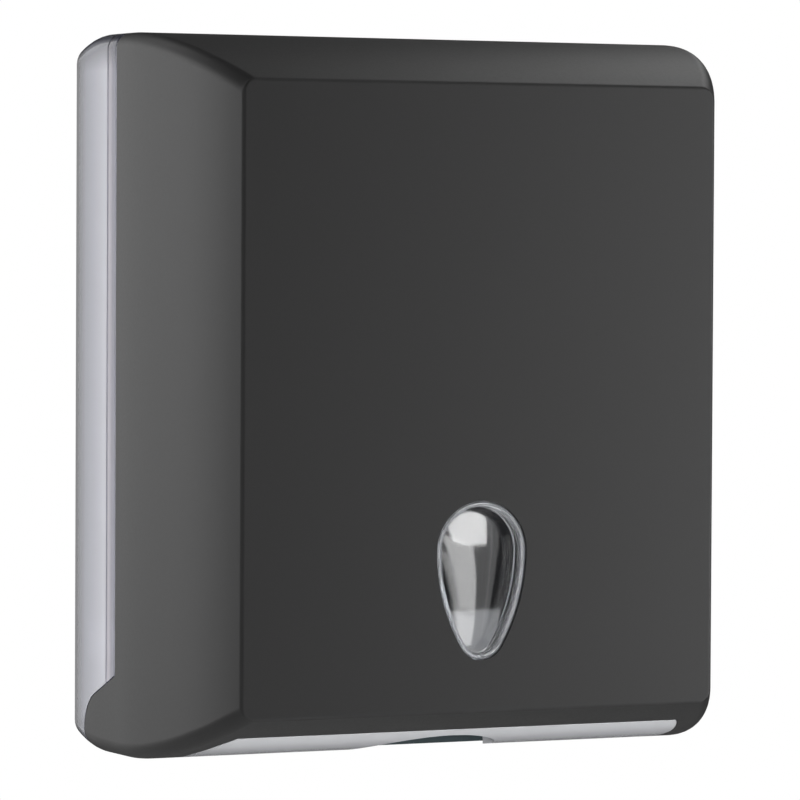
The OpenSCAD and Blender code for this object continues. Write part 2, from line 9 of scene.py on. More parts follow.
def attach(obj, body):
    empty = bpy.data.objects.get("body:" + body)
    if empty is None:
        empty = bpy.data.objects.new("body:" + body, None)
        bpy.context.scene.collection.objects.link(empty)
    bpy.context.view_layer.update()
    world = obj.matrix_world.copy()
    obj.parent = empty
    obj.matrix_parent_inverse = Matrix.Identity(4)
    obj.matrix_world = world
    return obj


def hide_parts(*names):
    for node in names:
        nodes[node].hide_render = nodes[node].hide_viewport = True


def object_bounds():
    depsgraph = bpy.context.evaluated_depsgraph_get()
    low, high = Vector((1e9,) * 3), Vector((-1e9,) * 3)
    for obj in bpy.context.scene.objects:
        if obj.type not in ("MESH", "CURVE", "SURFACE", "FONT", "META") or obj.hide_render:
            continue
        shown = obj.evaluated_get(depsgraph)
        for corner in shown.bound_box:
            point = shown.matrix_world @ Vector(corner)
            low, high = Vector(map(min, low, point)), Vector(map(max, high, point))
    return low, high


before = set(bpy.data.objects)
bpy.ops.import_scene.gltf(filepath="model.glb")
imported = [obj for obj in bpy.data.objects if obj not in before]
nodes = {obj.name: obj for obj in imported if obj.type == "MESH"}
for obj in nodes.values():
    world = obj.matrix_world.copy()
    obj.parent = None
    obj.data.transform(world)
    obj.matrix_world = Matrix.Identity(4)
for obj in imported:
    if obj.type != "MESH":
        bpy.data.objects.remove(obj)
cad_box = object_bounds()

# Camera, fitted to the photograph's outline: place in metres, angles in degrees
PICTURE_SIDE = 800
FOCAL_PIXELS = 5190.41
SENSOR = 36.0
CAMERA_PLACE = (-1.1053, -2.2081, 0.0721)
CAMERA_YAW = 27.1361
CAMERA_TILT = 1.7827
CAMERA_ROLL = 0.2889

# Sizes in millimetres: the part's source's, and finer ones for looks. A depth runs from the wall to the front
MM = 0.001
HALF_W = 143.0
HALF_H = 165.0
FRONT = 134.0
WALL = 2.5
CURVE_START = 52.0
FRONT_INSET = 22.5
CURVE_R = ((FRONT - CURVE_START) ** 2 + FRONT_INSET ** 2) / (2 * FRONT_INSET)
CREASE_R = 5.0
CREASE_OUT_R = 2.2
COVER_BACK = 46.6
HINGE = (30.5, -155.0)
EAR_R = 18.0
EAR_TIP = (COVER_BACK, -128.2)
WINDOW_Z = -69.5
WINDOW_R = 22.5
FLANK_R = 82.0
TIP_R = 11.8
TIP_DROP = math.sqrt((FLANK_R - TIP_R) ** 2 - (FLANK_R - WINDOW_R) ** 2)
TIP_Z = WINDOW_Z - TIP_DROP
TRAY_HALF = 123.9
TRAY_END_R = 62.0
TRAY_BEND = 81.0
TRAY_FRONT = 115.5
CASING_D = 46.0
PLATE = 3.0
BACK_BOW = 27.3
BACK_BOW_R = 85.6
SIDE_BOW = 0.12
CORNER_WALL_R = 8.8
CORNER_TAPER = 1.6
CORNER_SHRINK = 0.8
CORNER_LEAST = 1.0
CORNER_STEPS = 9
CREASE_PINCH = 0.4
PANE_GROW = -2.6
PANE_EDGE = 126.9
PANE_CROWN = 5.0
PANE_THICK = 1.5
FLANGE_FRONT = 131.48
FLANGE_BACK = 128.68
LOCK_DEPTH = 24
WALL_SCREWS = ((-90, -90), (-90, 110), (90, -90), (90, 110))
TRAY_SCREWS_X = (-105, -38, 38, 105)
TRAY_SCREWS_Z = -114
RIBS_X = (-120, -35, 35, 120)
RETAINER_SCREWS = ((22.41, -50.70), (14.21, -118.68))
HOOK_X = 15
HOOK_SCREW_DEPTHS = (60.4, 77.6)
LUG_X = 119.6
LUG_R = 6.2
MERGE = 0.0005
BEYOND = 220.0

ACROSS = Vector((1, 0, 0))
FORWARD = Vector((0, -1, 0))
UP = Vector((0, 0, 1))


def make_camera():
    """Camera that sees the part as the photograph does."""
    data = bpy.data.cameras.new("camera")
    data.sensor_width = SENSOR
    data.lens = FOCAL_PIXELS / PICTURE_SIDE * SENSOR
    data.clip_start = 0.05
    data.clip_end = 50
    camera = bpy.data.objects.new("camera", data)
    turn = (
        Matrix.Rotation(math.radians(-CAMERA_YAW), 4, "Z")
        @ Matrix.Rotation(math.radians(90 - CAMERA_TILT), 4, "X")
        @ Matrix.Rotation(math.radians(CAMERA_ROLL), 4, "Z")
    )
    camera.matrix_world = Matrix.Translation(CAMERA_PLACE) @ turn
    bpy.context.scene.collection.objects.link(camera)
    bpy.context.scene.camera = camera


class Finish:
    """A node material with one Principled shader, and short calls to add nodes to it."""

    def __init__(self, name):
        self.material = bpy.data.materials.new(name)
        self.material.use_nodes = True
        self.tree = self.material.node_tree
        self.tree.nodes.clear()
        self.out = self.tree.nodes.new("ShaderNodeOutputMaterial")
        self.shader = self.tree.nodes.new("ShaderNodeBsdfPrincipled")
        self.join(self.shader.outputs[0], self.out.inputs["Surface"])
        self.place = self.tree.nodes.new("ShaderNodeTexCoord").outputs["Object"]

    def join(self, start, end):
        self.tree.links.new(start, end)

    def set(self, **values):
        for name, value in values.items():
            self.shader.inputs[name.replace("_", " ")].default_value = value

    def feed(self, source, name):
        self.join(source, self.shader.inputs[name])

    def add(self, kind, values=None, **settings):
        node = self.tree.nodes.new("ShaderNode" + kind)
        for name, value in settings.items():
            setattr(node, name, value)
        for name, value in (values or {}).items():
            node.inputs[name].default_value = value
        return node

    def noise(self, scale, detail=2.0, stretch=None):
        node = self.add("TexNoise", {"Scale": scale, "Detail": detail})
        if stretch:
            mapping = self.add("Mapping", {"Scale": stretch})
            self.join(self.place, mapping.inputs["Vector"])
            self.join(mapping.outputs[0], node.inputs["Vector"])
        else:
            self.join(self.place, node.inputs["Vector"])
        return node.outputs["Fac"]

    def along(self, axis):
        parts = self.add("SeparateXYZ")
        self.join(self.place, parts.inputs[0])
        return parts.outputs[axis]

    def from_middle(self, axis):
        node = self.add("Math", operation="ABSOLUTE")
        self.join(self.along(axis), node.inputs[0])
        return node.outputs[0]

    def spread(self, source, low, high, start=0.3, end=0.7):
        node = self.add("MapRange", {"From Min": start, "From Max": end, "To Min": low, "To Max": high})
        self.join(source, node.inputs["Value"])
        return node.outputs[0]

    def blend(self, source, first, second):
        node = self.add("Mix", data_type="RGBA")
        for socket, colour in ((node.inputs["A"], first), (node.inputs["B"], second)):
            if isinstance(colour, tuple):
                socket.default_value = (*colour, 1)
            else:
                self.join(colour, socket)
        self.join(source, node.inputs["Factor"])
        return node.outputs["Result"]

    def bump(self, source, height, strength=1.0):
        node = self.add("Bump", {"Strength": strength, "Distance": height})
        self.join(source, node.inputs["Height"])
        self.feed(node.outputs[0], "Normal")

    def product(self, first, second):
        node = self.add("Math", operation="MULTIPLY")
        self.join(first, node.inputs[0])
        self.join(second, node.inputs[1])
        return node.outputs[0]

    def mixed(self, share, first, second):
        node = self.add("MixShader")
        for source, socket in zip((share, first, second), node.inputs):
            self.join(source, socket)
        return node.outputs[0]


def soft_touch():
    """Dark rubber-like paint: matt, with a fine grain."""
    finish = Finish("soft_touch_grey")
    tone_and_painted_shade = finish.noise(9, 3)
    finish.feed(finish.blend(tone_and_painted_shade, (0.0190, 0.0188, 0.0192), (0.0202, 0.0200, 0.0203)), "Base Color")
    finish.feed(finish.spread(finish.noise(700, 3), 0.49, 0.53), "Roughness")
    finish.bump(finish.noise(2600, 2), 0.00004, 0.5)
    finish.set(Specular_IOR_Level=0.5)
    return finish.material


def casing_plastic():
    """Hazy clear walls with painted shading over depth, darker towards a plate on the wall that is painted dark
    for the shade inside, and painted shade at their corners.
    """
    finish = Finish("clear_casing_plastic")
    # Painted light and shade over depth: dark by the wall, lighter towards the front, a painted light band, and
    # dark painted lines where the groove and the cover's edge would cast shade.
    depth = finish.spread(finish.along("Y"), 1.0, 0.0, -0.046, 0.0)
    painted_shading_ramp = finish.add("ValToRGB")
    finish.join(depth, painted_shading_ramp.inputs[0])
    # These wall, middle, light band and seam shades are painted shading, not the plastic's own colour.
    wall, middle = (0.07, 0.075, 0.09), (0.43, 0.44, 0.52)
    painted_light_band, seam = (0.86, 0.86, 0.95), (0.36, 0.36, 0.45)
    stops = [
        (0.0, wall), (0.26, middle), (0.72, painted_light_band), (0.785, painted_light_band), (0.80, seam), (0.815, seam),
        (0.83, (0.74, 0.70, 0.78)), (0.88, (0.62, 0.58, 0.67)), (0.92, seam), (1.0, seam),
    ]
    ramp = painted_shading_ramp.color_ramp.elements
    for index, (place, shade) in enumerate(stops):
        stop = ramp[index] if index < 2 else ramp.new(place)
        stop.position = place
        stop.color = (*shade, 1)
    # Painted shade: where the walls turn at their top and bottom corners they are blended towards a dark
    # blue-grey (0.05, 0.055, 0.08), standing in for the dark that the rounding reflects.
    turn = finish.product(
        finish.spread(finish.from_middle("Z"), 0.0, 0.85, 0.148, 0.1625),
        finish.spread(finish.from_middle("X"), 0.0, 1.0, 0.126, 0.134),
    )
    tone_and_painted_shade = finish.blend(turn, painted_shading_ramp.outputs[0], (0.05, 0.055, 0.08))
    # Painted shade: the plate on the wall is made dark and opaque (0.08, 0.08, 0.09), standing in for the shade
    # inside the casing behind the window.
    plate = finish.spread(finish.along("Y"), 0.0, 1.0, -0.0038, -0.0032)
    finish.feed(finish.blend(plate, tone_and_painted_shade, (0.08, 0.08, 0.09)), "Base Color")
    finish.feed(finish.spread(plate, 0.55, 0.0, 0, 1), "Transmission Weight")
    shine = finish.product(
        finish.spread(finish.along("Y"), 0.5, 0.2, -0.022, -0.001),
        finish.spread(turn, 1.0, 0.2, 0.0, 0.85),
    )
    finish.feed(shine, "Specular IOR Level")
    finish.feed(finish.spread(finish.noise(40, 2), 0.05, 0.09), "Roughness")
    finish.bump(finish.noise(25, 1), 0.0002, 0.1)
    finish.set(IOR=1.49)
    return finish.material


def tray_plastic():
    """Hazy clear tray, with painted shade: dark blue-green on the rear edge of its opening, where one looks
    into the shaded inside.
    """
    finish = Finish("clear_tray_plastic")
    tone_and_painted_shade = finish.blend(finish.noise(14, 2), (0.78, 0.79, 0.82), (0.81, 0.82, 0.85))
    # Painted shade: the rear edge of the opening is coloured dark (0.045, 0.06, 0.065) and made opaque,
    # standing in for the dark seen through the slot.
    edge = finish.spread(finish.along("Y"), 1.0, 0.0, -0.0478, -0.0475)
    edge = finish.product(edge, finish.spread(finish.along("Y"), 0.0, 1.0, -0.0585, -0.0580))
    edge = finish.product(edge, finish.spread(finish.from_middle("X"), 1.0, 0.0, 0.0930, 0.0935))
    finish.feed(finish.blend(edge, tone_and_painted_shade, (0.045, 0.06, 0.065)), "Base Color")
    finish.feed(finish.spread(edge, 0.3, 0.0, 0, 1), "Transmission Weight")
    finish.feed(finish.spread(finish.noise(40, 2), 0.10, 0.14), "Roughness")
    finish.bump(finish.noise(25, 1), 0.0002, 0.15)
    finish.set(IOR=1.49)
    return finish.material


def window_plastic():
    """Clear pane in a rim with a little haze."""
    finish = Finish("clear_window_plastic")
    haze = finish.add("Attribute", attribute_name="haze").outputs["Fac"]
    clear = finish.blend(finish.noise(14, 2), (0.93, 0.94, 0.95), (0.95, 0.96, 0.97))
    finish.feed(finish.blend(haze, clear, (0.80, 0.83, 0.88)), "Base Color")
    finish.feed(finish.spread(haze, 1.0, 0.92, 0, 1), "Transmission Weight")
    finish.feed(finish.spread(haze, 0.085, 0.05, 0, 1), "Roughness")
    finish.bump(finish.noise(25, 1), 0.0002, 0.1)
    finish.set(IOR=1.49)
    return finish.material


def plain_plastic(name, light, dark, rough):
    """Opaque moulding in two close shades."""
    finish = Finish(name)
    finish.feed(finish.blend(finish.noise(120, 3), dark, light), "Base Color")
    finish.feed(finish.spread(finish.noise(300, 2), rough - 0.05, rough + 0.05), "Roughness")
    finish.bump(finish.noise(1800, 2), 0.00003, 0.5)
    return finish.material


def plated(name, light, dark, rough, stretch):
    """Metal with a drawn grain."""
    finish = Finish(name)
    grain = finish.noise(300, 4, stretch)
    finish.feed(finish.blend(grain, dark, light), "Base Color")
    finish.feed(finish.spread(grain, rough, rough + 0.12), "Roughness")
    finish.bump(grain, 0.00002, 0.4)
    finish.set(Metallic=1.0)
    return finish.material


def make_looks():
    """Every material, by a short name."""
    return {
        "casing": casing_plastic(),
        "tray": tray_plastic(),
        "window": window_plastic(),
        "cover": soft_touch(),
        "retainer": plain_plastic("dark_moulding", (0.03, 0.03, 0.032), (0.02, 0.02, 0.022), 0.45),
        "hook": plain_plastic("black_coated", (0.03, 0.03, 0.03), (0.02, 0.02, 0.02), 0.4),
        "bush": plain_plastic("natural_bush_plastic", (0.75, 0.71, 0.60), (0.68, 0.63, 0.52), 0.4),
        "steel": plated("plated_steel", (0.62, 0.62, 0.63), (0.45, 0.45, 0.46), 0.28, (1, 1, 12)),
        "chrome": plated("bright_chrome", (0.72, 0.72, 0.73), (0.6, 0.6, 0.61), 0.1, (1, 1, 4)),
        "brass": plated("plain_brass", (0.72, 0.52, 0.22), (0.55, 0.38, 0.15), 0.3, (1, 1, 6)),
    }


def dress():
    """Puts a material on each node of the frame."""
    wears = {
        "rear_casing": "casing", "dispensing_tray": "tray", "sight_window": "window", "front_cover": "cover",
        "window_retainer": "retainer", "cover_keeper": "hook", "hinge_bush_left": "bush",
        "hinge_bush_right": "bush", "lock_barrel": "chrome", "lock_friction_washer": "brass",
    }
    for name, node in nodes.items():
        node.data.materials.clear()
        node.data.materials.append(looks[wears.get(name, "steel")])


def mesh_object(name, bm):
    mesh = bpy.data.meshes.new(name)
    bm.to_mesh(mesh)
    bm.free()
    made = bpy.data.objects.new(name, mesh)
    bpy.context.scene.collection.objects.link(made)
    return made


def close_up(bm):
    """Joins what meets, and turns all faces outwards."""
    bmesh.ops.remove_doubles(bm, verts=bm.verts, dist=MERGE)
    bmesh.ops.recalc_face_normals(bm, faces=bm.faces)


def finish_piece(name, bm, look, body, slot, *replaced):
    """Piece from a bmesh in millimetres, smooth but for its sharp edges, that rides on a body."""
    bmesh.ops.scale(bm, vec=(MM, MM, MM), verts=bm.verts)
    for face in bm.faces:
        face.smooth = True
    for edge in bm.edges:
        edge.smooth = len(edge.link_faces) == 2 and edge.calc_face_angle() < math.radians(30)
    piece = mesh_object(name, bm)
    piece.data.materials.append(looks[look])
    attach(piece, body)
    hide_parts(*replaced)
    return piece


def draw(bm, start, moves):
    """Closed outline from a start.

    A move is a point to go straight to, or an arc: centre, axis, degrees and steps."""
    last = bm.verts.new(start)
    for move in moves:
        if len(move) == 3:
            onward = bm.verts.new(move)
            bm.edges.new((last, onward))
            last = onward
        else:
            centre, axis, degrees, steps = move
            swept = bmesh.ops.spin(
                bm, geom=[last], cent=centre, axis=axis, angle=math.radians(degrees), steps=steps
            )
            last = swept["geom_last"][0]
    bmesh.ops.remove_doubles(bm, verts=bm.verts, dist=MERGE)


def prism(start, moves, reach):
    """Solid that fills an outline and reaches from it along a vector."""
    bm = bmesh.new()
    draw(bm, start, moves)
    faces = bmesh.ops.contextual_create(bm, geom=bm.edges[:])["faces"]
    grown = bmesh.ops.extrude_face_region(bm, geom=faces)["geom"]
    moved = [part for part in grown if isinstance(part, bmesh.types.BMVert)]
    bmesh.ops.translate(bm, vec=reach, verts=moved)
    bmesh.ops.recalc_face_normals(bm, faces=bm.faces)
    return bm


def turned(bm, base, axis, side, profile, steps=48):
    """Adds a turned solid: its profile, as distances along the axis and radii, goes once round the axis."""
    corners = [bm.verts.new(base + along * axis + radius * side) for along, radius in profile]
    edges = [bm.edges.new((corners[i - 1], corners[i])) for i in range(len(corners))]
    bmesh.ops.spin(
        bm, geom=corners + edges, cent=base, axis=axis, angle=math.tau, steps=steps, use_merge=True
    )


def carve(solid, less=(), plus=()):
    """The solid and what is added to it, less each of the tools."""
    body = mesh_object("solid", solid)
    cutters = []
    for operation, tools in (("UNION", plus), ("DIFFERENCE", less)):
        for tool in tools:
            cutter = mesh_object("tool", tool)
            modifier = body.modifiers.new("shape", "BOOLEAN")
            modifier.object = cutter
            modifier.operation = operation
            modifier.solver = "EXACT"
            cutters.append(cutter)
    shown = body.evaluated_get(bpy.context.evaluated_depsgraph_get())
    result = bmesh.new()
    result.from_mesh(shown.to_mesh())
    shown.to_mesh_clear()
    for used in [body] + cutters:
        mesh = used.data
        bpy.data.objects.remove(used)
        bpy.data.meshes.remove(mesh)
    return result


def ring(bm, half_x, half_z, corner, depth):
    """Rounded rectangle at a depth. Returns its edges."""
    verts = bmesh.ops.create_circle(bm, segments=4 * (CORNER_STEPS + 1), radius=1)["verts"]
    for index, vert in enumerate(verts):
        quarter, step = divmod(index, CORNER_STEPS + 1)
        angle = math.pi / 2 * (quarter + step / CORNER_STEPS)
        sign_x = 1 if quarter in (0, 3) else -1
        sign_z = 1 if quarter in (0, 1) else -1
        vert.co = (
            sign_x * (half_x - corner) + corner * math.cos(angle),
            -depth,
            sign_z * (half_z - corner) + corner * math.sin(angle),
        )
    return list({edge for vert in verts for edge in vert.link_edges})


def corner_at(depth):
    """Corner radius of the outline, which tapers a little from the wall to the parting line."""
    return CORNER_WALL_R - CORNER_TAPER * min(max(depth, 0.0) / COVER_BACK, 1.0)


def back_drop(depth):
    """How far the top and the bottom draw in towards the wall."""
    run = min(max(BACK_BOW - depth, 0.0), BACK_BOW)
    return BACK_BOW_R - math.sqrt(BACK_BOW_R ** 2 - run ** 2)


def loft(rows):
    """Closed solid through rounded rectangles: half width, half height, corner and depth of each."""
    bm = bmesh.new()
    rings = [ring(bm, *row) for row in rows]
    for first, second in zip(rings, rings[1:]):
        bmesh.ops.bridge_loops(bm, edges=first + second)
    bmesh.ops.contextual_create(bm, geom=rings[0])
    bmesh.ops.contextual_create(bm, geom=rings[-1])
    bmesh.ops.recalc_face_normals(bm, faces=bm.faces)
    return bm


def back_rows(wall, start, end, groove=()):
    """Rows of the form behind its bow, set in by a wall, from one depth to another.

    A groove is depths and insets."""
    depths = [(start, 0.0)] + [(2.0 * step, 0.0) for step in range(15) if start < 2.0 * step < end]
    rows = []
    for depth, inset in depths + list(groove) + [(end, 0.5 if groove else 0.0)]:
        inset += wall
        drop = back_drop(depth)
        corner = max(corner_at(depth) - CORNER_SHRINK * inset, CORNER_LEAST)
        rows.append((HALF_W - inset - SIDE_BOW * drop, HALF_H - inset - drop, corner, depth))
    return rows


def bowed_form(wall, back):
    """The cover's bowed form set in by a wall, as a closed solid from a depth to the front."""
    crease = CREASE_R if wall else CREASE_OUT_R
    swing = math.asin((FRONT - crease - CURVE_START) / (CURVE_R - crease))
    rows = []
    for step in range(25):
        angle = swing * step / 24
        rows.append((CURVE_R - wall - (CURVE_R - wall) * math.cos(angle),
                     CURVE_START + (CURVE_R - wall) * math.sin(angle), 0.0))
    crease_in = CURVE_R - wall - (CURVE_R - crease) * math.cos(swing)
    for step in range(1, 11):
        angle = swing + (math.pi / 2 - swing) * step / 10
        rows.append((crease_in - (crease - wall) * math.cos(angle),
                     FRONT - crease + (crease - wall) * math.sin(angle), step / 10))
    outline = back_rows(wall, back, 0.5 * (COVER_BACK + CURVE_START))
    for inset, depth, creased in rows:
        corner = corner_at(depth) * (1 - CREASE_PINCH * creased) - CORNER_SHRINK * wall
        outline.append((HALF_W - wall - inset, HALF_H - wall - inset, max(corner, CORNER_LEAST), depth))
    return loft(outline)


def egg_moves(grow, depth):
    """Start and moves of the window's outline: round top, long flanks and a round tip."""
    lean = math.degrees(math.atan2(TIP_DROP, FLANK_R - WINDOW_R))
    start = Vector((WINDOW_R + grow, -depth, WINDOW_Z))
    moves = [
        (Vector((0, -depth, WINDOW_Z)), FORWARD, 180, 48),
        (Vector((FLANK_R - WINDOW_R, -depth, WINDOW_Z)), FORWARD, lean, 16),
        (Vector((0, -depth, TIP_Z)), FORWARD, 180 - 2 * lean, 32),
        (Vector((WINDOW_R - FLANK_R, -depth, WINDOW_Z)), FORWARD, lean, 16),
    ]
    return start, moves


def ear_flank(grow):
    """Direction square to the ear's straight flank, and the ear's tip, grown by a gap."""
    drop = EAR_TIP[1] - HINGE[1]
    reach = EAR_TIP[0] - HINGE[0]
    flank = math.atan2(drop, reach) + math.acos(EAR_R / math.hypot(reach, drop))
    return flank, (EAR_TIP[0] + grow * math.cos(flank), EAR_TIP[1] + grow * math.sin(flank))


def ear_tool(grow):
    """Room for the cover's ears in the casing, in the side view."""
    flank, tip = ear_flank(grow)
    past = (tip[0] + 6 * math.sin(flank), tip[1] - 6 * math.cos(flank))
    start = (-BEYOND, -HINGE[0], -BEYOND)
    moves = [
        (-BEYOND, -HINGE[0], HINGE[1] - EAR_R - grow),
        (Vector((-BEYOND, -HINGE[0], HINGE[1])), ACROSS, math.degrees(1.5 * math.pi - flank), 40),
        (-BEYOND, -past[0], past[1]),
        (-BEYOND, -past[0], -BEYOND),
        start,
    ]
    return prism(start, moves, (2 * BEYOND, 0, 0))


def cover_back_tool():
    """All that lies behind the cover's back edge and its two round ears, in the side view."""
    flank = ear_flank(0.0)[0]
    start = (-BEYOND, -COVER_BACK, BEYOND)
    moves = [
        (-BEYOND, 20, BEYOND),
        (-BEYOND, 20, -BEYOND),
        (-BEYOND, -HINGE[0], -BEYOND),
        (-BEYOND, -HINGE[0], HINGE[1] - EAR_R),
        (Vector((-BEYOND, -HINGE[0], HINGE[1])), ACROSS, math.degrees(1.5 * math.pi - flank), 40),
        (-BEYOND, -EAR_TIP[0], EAR_TIP[1]),
        start,
    ]
    return prism(start, moves, (2 * BEYOND, 0, 0))


def tray_tool():
    """The tray's place in the cover's underside, in plan."""
    low = -HALF_H - 5
    middle = TRAY_HALF - TRAY_END_R
    swing = math.degrees(math.asin((TRAY_FRONT - TRAY_BEND) / TRAY_END_R))
    start = (TRAY_HALF, 0, low)
    end_x = middle + TRAY_END_R * math.cos(math.radians(swing))
    moves = [
        (TRAY_HALF, -TRAY_BEND, low),
        (Vector((middle, -TRAY_BEND, low)), -UP, swing, 16),
        (-end_x, -TRAY_FRONT, low),
        (Vector((-middle, -TRAY_BEND, low)), -UP, swing, 16),
        (-TRAY_HALF, 0, low),
        start,
    ]
    return prism(start, moves, (0, 0, 5 + FRONT_INSET))


def make_cover():
    """Soft-touch cover: a bowed shell with ears, an egg-shaped hole and the bosses for what it carries."""
    start, moves = egg_moves(0.5, FRONT - WALL - 1)
    tools = [bowed_form(WALL, -20.0), cover_back_tool(), tray_tool(), prism(start, moves, (0, -5, 0))]
    bm = carve(bowed_form(0.0, 8.0), tools)
    for side in (-1, 1):
        hinge = Vector((0, -HINGE[0], HINGE[1]))
        turned(bm, hinge, side * ACROSS, UP,
               [(124.9, 4.17), (124.9, 7.4), (141, 7.4), (141, 0), (130.4, 0), (130.4, 4.17)])
        for x, z in RETAINER_SCREWS:
            boss = [(FLANGE_BACK, 1.07), (FLANGE_BACK, 3.05), (132.2, 3.05), (132.2, 0), (132, 0), (132, 1.07)]
            turned(bm, Vector((side * x, 0, z)), FORWARD, ACROSS, boss, 32)
    for depth in HOOK_SCREW_DEPTHS:
        turned(bm, Vector((HOOK_X, -depth, 0)), UP, ACROSS,
               [(150.9, 1.47), (150.9, 3.45), (161.2, 3.45), (161.2, 0), (156.9, 0), (156.9, 1.47)], 32)
    close_up(bm)
    piece = finish_piece("cover_shell", bm, "cover", "cover", "soft_grey", "front_cover")
    soften(piece, 0.4)


def kept_part(bm, height, side):
    """A solid's part above a height, where the side is 1, or below it, where the side is -1."""
    bmesh.ops.bisect_plane(
        bm, geom=bm.verts[:] + bm.edges[:] + bm.faces[:],
        plane_co=(0, 0, height), plane_no=(0, 0, -side), clear_outer=True,
    )
    bmesh.ops.holes_fill(bm, edges=bm.edges, sides=0)
    bmesh.ops.recalc_face_normals(bm, faces=bm.faces)
    return bm


def rod(bm, base, axis, side, start, end, radius, steps=40):
    """Adds a plain round rod."""
    turned(bm, base, axis, side, [(start, 0), (start, radius), (end, radius), (end, 0)], steps)


def casing_fixtures():
    """Pads for the wall screws, bosses for the tray screws, and ribs on the plate."""
    bm = bmesh.new()
    for x, z in WALL_SCREWS:
        turned(bm, Vector((x, 0, z)), FORWARD, ACROSS, [(2, 0), (2, 8.3), (4.7, 8), (5, 7.7), (5, 0)])
    for x in TRAY_SCREWS_X:
        rod(bm, Vector((x, 0, TRAY_SCREWS_Z)), FORWARD, ACROSS, 2, 9.18, 3.45)
    for x in RIBS_X:
        before = set(bm.verts)
        bmesh.ops.create_cube(bm, size=1)
        made = [vert for vert in bm.verts if vert not in before]
        bmesh.ops.scale(bm, vec=(2, 3, 217), verts=made)
        bmesh.ops.translate(bm, vec=(x, -3.5, 10.5), verts=made)
    close_up(bm)
    return bm


def hinge_lug(side):
    """Lug that carries a hinge pin, in the side view."""
    start = (side * LUG_X, -2, HINGE[1] - LUG_R)
    moves = [
        (side * LUG_X, -HINGE[0], HINGE[1] - LUG_R),
        (Vector((side * LUG_X, -HINGE[0], HINGE[1])), -ACROSS, 140, 32),
        (side * LUG_X, -2, -125),
        start,
    ]
    return prism(start, moves, (side * 3.8, 0, 0))


def casing_holes():
    """Holes for wall screws, tray screws, hinge pins and the lock."""
    bm = bmesh.new()
    for x, z in WALL_SCREWS:
        rod(bm, Vector((x, 0, z)), FORWARD, ACROSS, -1, 6, 2.75)
    for x in TRAY_SCREWS_X:
        rod(bm, Vector((x, 0, TRAY_SCREWS_Z)), FORWARD, ACROSS, PLATE, 10, 1.47, 24)
    for side in (-1, 1):
        rod(bm, Vector((0, -HINGE[0], HINGE[1])), side * ACROSS, UP, 110, 130, 2.52)
    turned(bm, Vector((0, -LOCK_DEPTH, 0)), UP, ACROSS,
           [(159, 0), (159, 9.52), (163.38, 9.52), (163.38, 12.02), (166, 12.02), (166, 0)], 64)
    close_up(bm)
    return bm


def make_casing():
    """Clear casing: plate, walls that draw in at the back, tongue, lugs, pads, bosses, ribs and lock seat."""
    tongue_end = -124.2
    tongue_in = 4.7
    tongue = kept_part(loft(back_rows(3.3, 44.0, 50.0)), tongue_end, 1)
    tongue = carve(tongue, [loft(back_rows(tongue_in, 43.0, 51.0))])
    pad = bmesh.new()
    rod(pad, Vector((0, -LOCK_DEPTH, 0)), UP, ACROSS, 160, 163.2, 15.5, 64)
    bmesh.ops.recalc_face_normals(pad, faces=pad.faces)
    hollow = [
        loft(back_rows(tongue_in, PLATE, 60.0)),
        loft(back_rows(WALL, PLATE, 35.0)),
        kept_part(loft(back_rows(WALL, PLATE, 60.0)), tongue_end, -1),
        ear_tool(0.6),
    ]
    seam = [(36.2, 0.0), (36.5, 0.3), (36.9, 0.3), (37.2, 0.0), (44.9, 0.0), (45.5, 0.25)]
    bm = carve(loft(back_rows(0.0, 0.0, CASING_D, seam)), hollow)
    bm = carve(bm, [casing_holes()], [tongue, casing_fixtures(), hinge_lug(-1), hinge_lug(1), pad])
    close_up(bm)
    piece = finish_piece("casing_shell", bm, "casing", "casing", "clear_casing", "rear_casing")
    soften(piece, 0.35)
    return piece


def soften(piece, width):
    """Small rounding on a piece's sharp edges."""
    bevel = piece.modifiers.new("soft_edges", "BEVEL")
    bevel.width = width * MM
    bevel.segments = 2
    bevel.limit_method = "ANGLE"
    bevel.angle_limit = math.radians(40)
    bevel.use_clamp_overlap = True
    bevel.harden_normals = False
    weigh = piece.modifiers.new("even_shade", "WEIGHTED_NORMAL")
    weigh.keep_sharp = True
    weigh.weight = 60


def egg_half_width(z, grow):
    """Half the width of the window's outline at a height."""
    if z >= WINDOW_Z:
        square = (WINDOW_R + grow) ** 2 - (z - WINDOW_Z) ** 2
        return math.sqrt(max(square, 0.0))
    lean = math.atan2(TIP_DROP, FLANK_R - WINDOW_R)
    if z > WINDOW_Z - (FLANK_R + grow) * math.sin(lean):
        return WINDOW_R - FLANK_R + math.sqrt((FLANK_R + grow) ** 2 - (z - WINDOW_Z) ** 2)
    return math.sqrt(max((TIP_R + grow) ** 2 - (z - TIP_Z) ** 2, 0.0))


def pane_depth(x, z):
    """Depth of the bulged pane's front face."""
    top = WINDOW_Z + WINDOW_R + PANE_GROW
    low = TIP_Z - TIP_R - PANE_GROW
    upright = (2 * z - top - low) / (top - low)
    half = max(egg_half_width(z, PANE_GROW), 0.01)
    across = min(abs(x) / half, 1.0)
    return PANE_EDGE + PANE_CROWN * max(1 - upright ** 2, 0.0) * (1 - across ** 2)


def egg_loop(bm, grow, depth):
    """Window outline grown by a width at a depth. Returns its edges."""
    before = set(bm.edges)
    sketch = bmesh.new()
    draw(sketch, *egg_moves(grow, depth))
    mesh = bpy.data.meshes.new("loop")
    sketch.to_mesh(mesh)
    sketch.free()
    bm.from_mesh(mesh)
    bpy.data.meshes.remove(mesh)
    return [edge for edge in bm.edges if edge not in before]


